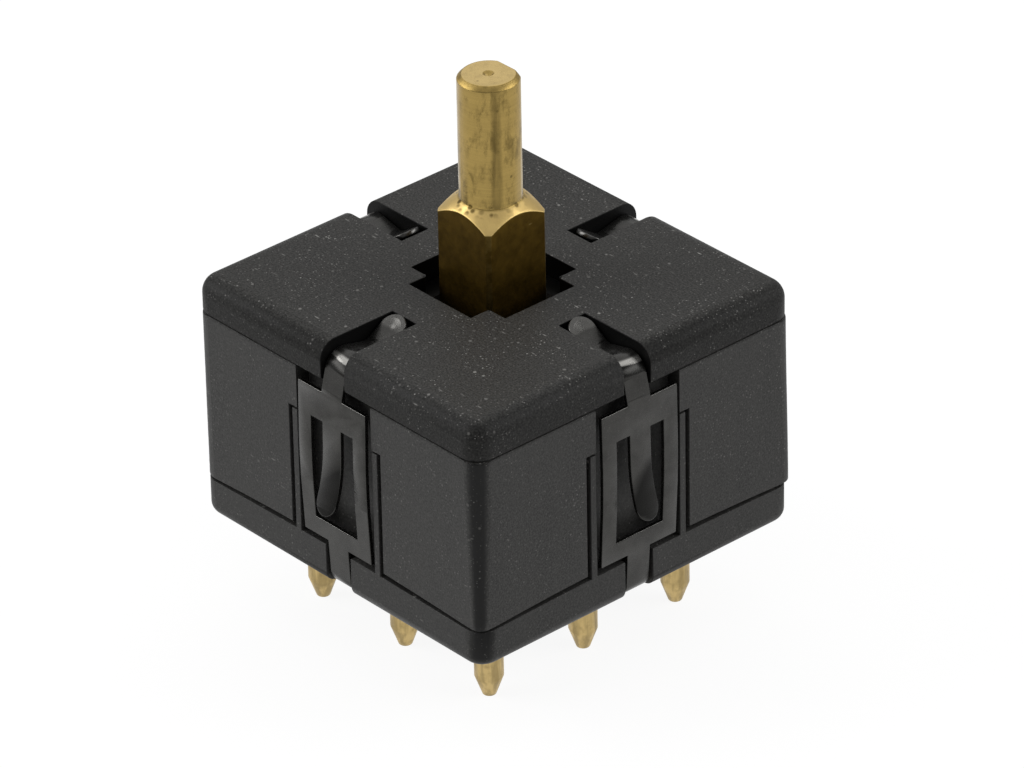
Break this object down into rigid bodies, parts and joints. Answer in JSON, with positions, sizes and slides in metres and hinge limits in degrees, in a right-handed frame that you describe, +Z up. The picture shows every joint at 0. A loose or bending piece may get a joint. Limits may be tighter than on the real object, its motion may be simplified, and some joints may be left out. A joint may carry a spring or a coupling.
{
  "type": "power seat switch",
  "caption": "Square four-way seat switch with a tilting brass stem in a plus-shaped gate, spring side clips and round terminal pins underneath.",
  "frame": {"origin": "under the middle of the switch, level with the tips of the terminals", "axes": "+Z up along the stem, +X towards the right face, +Y towards the back face; the stem's flat faces the back"},
  "size_m": [0.0276, 0.0276, 0.0363],
  "materials": {
    "cover_plastic": "fine grained, dusty, charcoal",
    "case_plastic": "satin moulded charcoal",
    "base_plastic": "satin moulded charcoal",
    "inner_plastic": "plain moulded black",
    "ring_plastic": "plain moulded black",
    "carriage_plastic": "plain moulded dark grey",
    "clip_steel": "black oxide spring steel, satin",
    "stem_brass": "turned and milled, lightly tarnished",
    "terminal_brass": "turned, dull",
    "contact_copper": "rolled copper alloy",
    "pin_steel": "ground",
    "washer_steel": "rolled",
    "spring_wire": "drawn wire"
  },
  "bodies": {
    "housing": {"top_cover": "cover_plastic", "case_body": "case_plastic", "base_cover": "base_plastic", "bearing_frame": "inner_plastic", "return_spring": "spring_wire", "clip_front": "clip_steel", "clip_right": "clip_steel", "clip_back": "clip_steel", "clip_left": "clip_steel", "terminal_1": "terminal_brass", "terminal_2": "terminal_brass", "terminal_3": "terminal_brass", "terminal_4": "terminal_brass", "terminal_5": "terminal_brass", "terminal_6": "terminal_brass", "terminal_7": "terminal_brass", "terminal_8": "terminal_brass", "terminal_9": "terminal_brass"},
    "ring": {"gimbal_ring": "ring_plastic", "ring_pin_right": "pin_steel", "ring_pin_left": "pin_steel"},
    "stem": {"stem": "stem_brass", "stem_pin": "pin_steel", "centring_washer": "washer_steel"},
    "slide": {"cross_slide": "inner_plastic"},
    "carriage": {"contact_carriage": "carriage_plastic", "contact_front": "contact_copper", "contact_right": "contact_copper", "contact_back": "contact_copper", "contact_left": "contact_copper"}
  },
  "joints": [
    {"name": "tilt_front_back", "type": "hinge", "parent": "housing", "child": "ring", "pos_m": [0, 0, 0.01897], "axis": [1, 0, 0], "range_deg": [-7, 7], "stiffness_Nm_per_rad": 0.4, "deforming": ["return_spring"]},
    {"name": "tilt_left_right", "type": "hinge", "parent": "ring", "child": "stem", "pos_m": [0, 0, 0.01897], "axis": [0, 1, 0], "range_deg": [-7, 7], "stiffness_Nm_per_rad": 0.4},
    {"name": "slide_front_back", "type": "slide", "parent": "housing", "child": "slide", "axis": [0, 1, 0], "range_m": [-0.001, 0.001]},
    {"name": "carriage_left_right", "type": "slide", "parent": "slide", "child": "carriage", "axis": [1, 0, 0], "range_m": [-0.001, 0.001]}
  ],
  "couplings": [
    {"joint": "slide_front_back", "follows": "tilt_front_back", "m_per_rad": 0.007845},
    {"joint": "carriage_left_right", "follows": "tilt_left_right", "m_per_rad": -0.007845}
  ]
}
